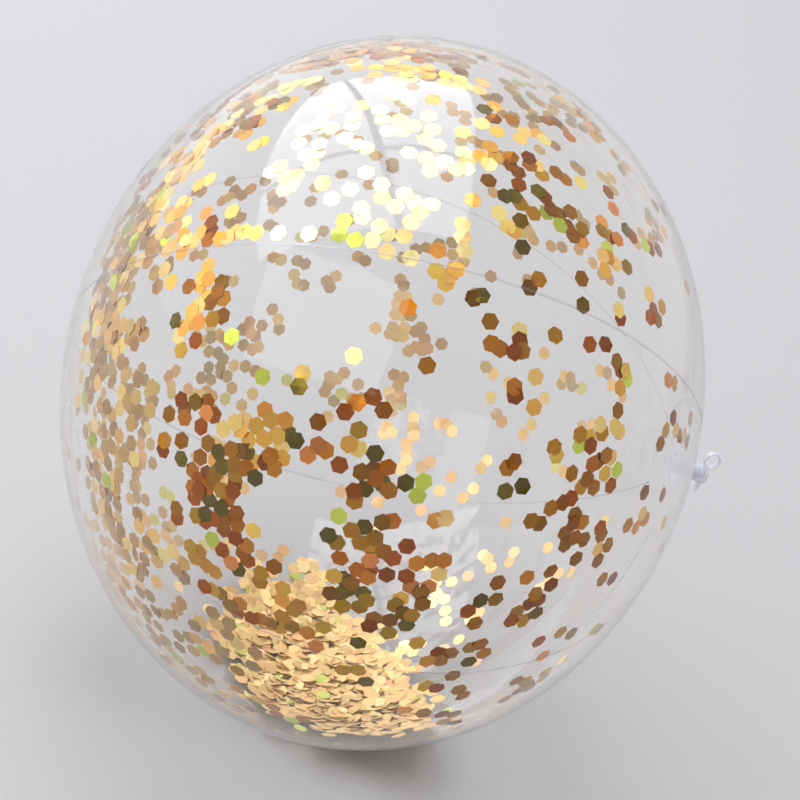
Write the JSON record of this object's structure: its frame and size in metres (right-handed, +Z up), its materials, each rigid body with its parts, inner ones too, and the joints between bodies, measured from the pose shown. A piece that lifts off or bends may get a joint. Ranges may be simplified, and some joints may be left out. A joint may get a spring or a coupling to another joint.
{
  "type": "inflatable beach ball",
  "caption": "Clear inflatable ball with welded gores and end caps, a push-in stopper valve on its polar axis, and loose foil hexagon confetti inside.",
  "frame": {"origin": "middle of the flat patch that the ball rests on, straight below the ball's centre", "axes": "+X along the polar axis towards the valve, +Z up, -Y towards the front"},
  "size_m": [0.2884, 0.3034, 0.3035],
  "materials": {
    "clear_film": "gloss",
    "soft_clear_plastic": "satin",
    "gold_foil": "metallic foil",
    "loose_foil": "metallic foil"
  },
  "bodies": {
    "skin": {"gore_panel_1": "clear_film", "gore_panel_2": "clear_film", "gore_panel_3": "clear_film", "gore_panel_4": "clear_film", "gore_panel_5": "clear_film", "gore_panel_6": "clear_film", "end_cap_plain": "clear_film", "end_cap_valve": "clear_film", "valve_flange": "soft_clear_plastic", "confetti_01": "gold_foil", "confetti_02": "gold_foil", "confetti_03": "gold_foil", "confetti_04": "gold_foil", "confetti_05": "gold_foil", "confetti_06": "gold_foil", "confetti_07": "gold_foil", "confetti_08": "gold_foil", "confetti_09": "gold_foil", "confetti_10": "gold_foil", "confetti_11": "gold_foil", "confetti_12": "gold_foil", "confetti_13": "gold_foil", "confetti_14": "gold_foil", "confetti_15": "gold_foil", "confetti_16": "gold_foil", "confetti_17": "gold_foil", "confetti_18": "gold_foil", "confetti_19": "gold_foil", "confetti_20": "gold_foil", "confetti_21": "gold_foil", "confetti_22": "gold_foil", "confetti_23": "gold_foil", "confetti_24": "gold_foil", "confetti_25": "gold_foil", "confetti_26": "gold_foil", "confetti_27": "gold_foil", "confetti_28": "gold_foil", "confetti_29": "gold_foil", "confetti_30": "gold_foil", "confetti_31": "gold_foil", "confetti_32": "gold_foil", "confetti_33": "gold_foil", "confetti_34": "gold_foil", "confetti_35": "gold_foil", "confetti_36": "gold_foil", "confetti_37": "gold_foil", "confetti_38": "gold_foil", "confetti_39": "gold_foil", "confetti_40": "gold_foil", "confetti_41": "gold_foil", "confetti_42": "gold_foil", "confetti_43": "gold_foil", "confetti_44": "gold_foil", "confetti_45": "gold_foil"},
    "valve_stem": {"valve_stem": "soft_clear_plastic", "valve_root": "soft_clear_plastic", "valve_strap": "soft_clear_plastic"},
    "valve_plug": {"valve_plug": "soft_clear_plastic"},
    "check_flap": {"valve_check_flap": "clear_film"},
    "confetti_heap": {"confetti_heap": "loose_foil"}
  },
  "joints": [
    {"name": "valve_push_in", "type": "slide", "parent": "skin", "child": "valve_stem", "axis": [1, 0, 0], "range_m": [-0.01, 0], "deforming": ["valve_root"]},
    {"name": "plug_pull", "type": "slide", "parent": "valve_stem", "child": "valve_plug", "axis": [1, 0, 0], "range_m": [0, 0.006], "deforming": ["valve_strap"]},
    {"name": "flap_hinge", "type": "hinge", "parent": "valve_stem", "child": "check_flap", "pos_m": [0.1311, 0, 0.15545], "axis": [0, 1, 0], "range_deg": [0, 60]},
    {"name": "heap_roll", "type": "hinge", "parent": "skin", "child": "confetti_heap", "pos_m": [0, 0, 0.15175], "axis": [1, 0, 0], "continuous": true}
  ]
}
